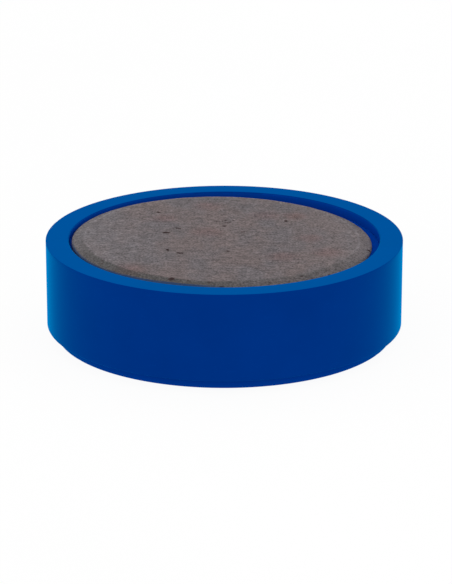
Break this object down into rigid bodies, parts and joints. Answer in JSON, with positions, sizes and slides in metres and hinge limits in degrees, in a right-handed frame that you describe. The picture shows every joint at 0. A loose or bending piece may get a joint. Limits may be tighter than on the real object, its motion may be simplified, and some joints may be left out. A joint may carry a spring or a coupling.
{
  "type": "magnetic glass cleaner",
  "caption": "Round magnetic glass cleaner half: a blue plastic ring on a stepped base, holding a flush ferrite magnet over a felt wiping pad.",
  "frame": {"origin": "centre of the felt pad's working face, the lowest plane of the puck, on the axis of the ring", "axes": "+Z along the ring's axis, from the felt pad out through the open magnet face; +X away from the side that the magnets are bonded towards"},
  "size_m": [0.12, 0.12, 0.0345],
  "materials": {
    "blue_plastic": "satin",
    "ferrite": "matte",
    "epoxy": "gloss",
    "hook_nylon": "matte",
    "felt": "matte"
  },
  "bodies": {
    "root": {"housing_ring": "blue_plastic", "base_plate": "blue_plastic", "ferrite_disc_top": "ferrite", "ferrite_disc_bottom": "ferrite", "epoxy_bed": "epoxy", "hook_tape": "hook_nylon", "cleaning_pad": "felt"}
  },
  "joints": []
}
